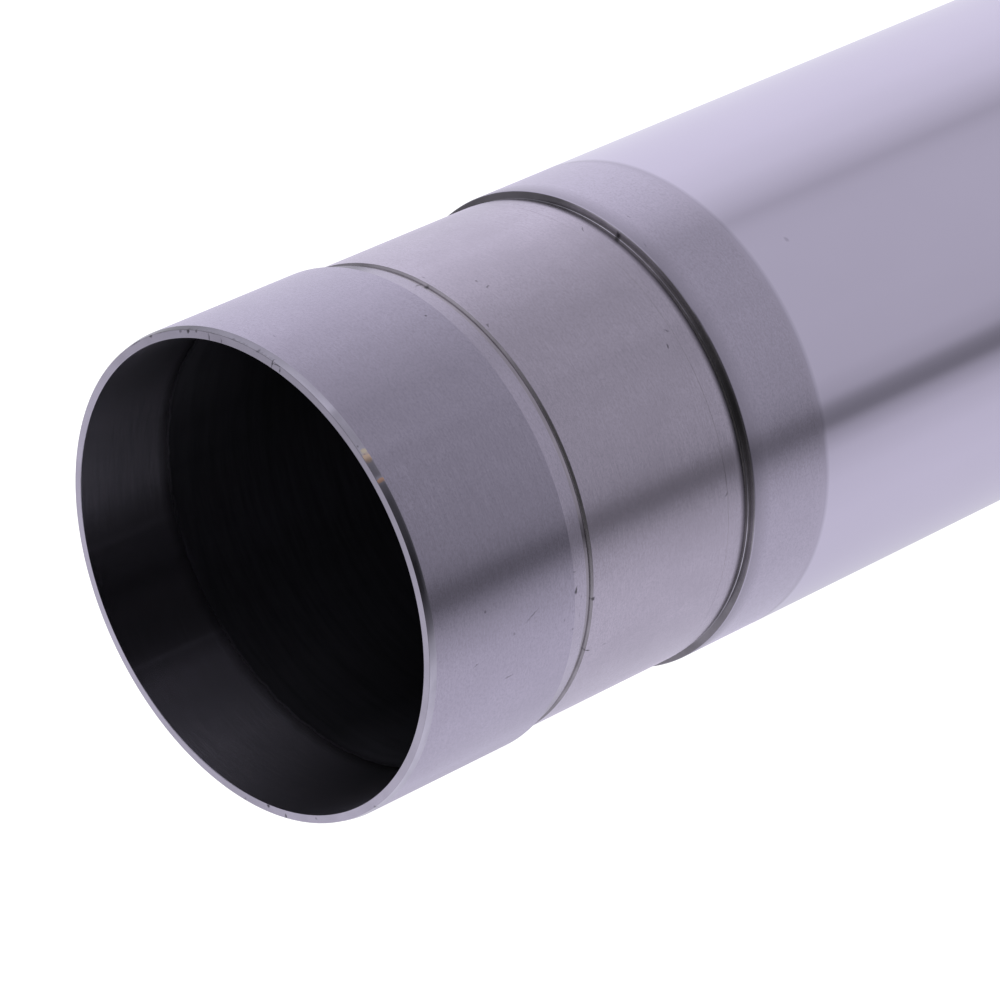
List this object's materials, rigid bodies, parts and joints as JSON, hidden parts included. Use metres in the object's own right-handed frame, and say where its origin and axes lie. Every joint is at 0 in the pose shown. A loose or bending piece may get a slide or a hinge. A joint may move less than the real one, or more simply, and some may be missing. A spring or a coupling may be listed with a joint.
{
  "type": "motorcycle fork tube",
  "caption": "Straight hard-plated steel fork tube with a ground bush seat, a stop shoulder and a thin chamfered lip at one end.",
  "frame": {"origin": "centre of the plain lower end face, on the tube's axis", "axes": "+Z along the tube's axis, up to the machined end; every direction across it is alike"},
  "size_m": [0.0429, 0.043, 0.53],
  "materials": {
    "plated_steel": "hard plated and polished, satin ground at the seat end, dark as drawn inside"
  },
  "bodies": {
    "root": {"fork_tube": "plated_steel"}
  },
  "joints": []
}
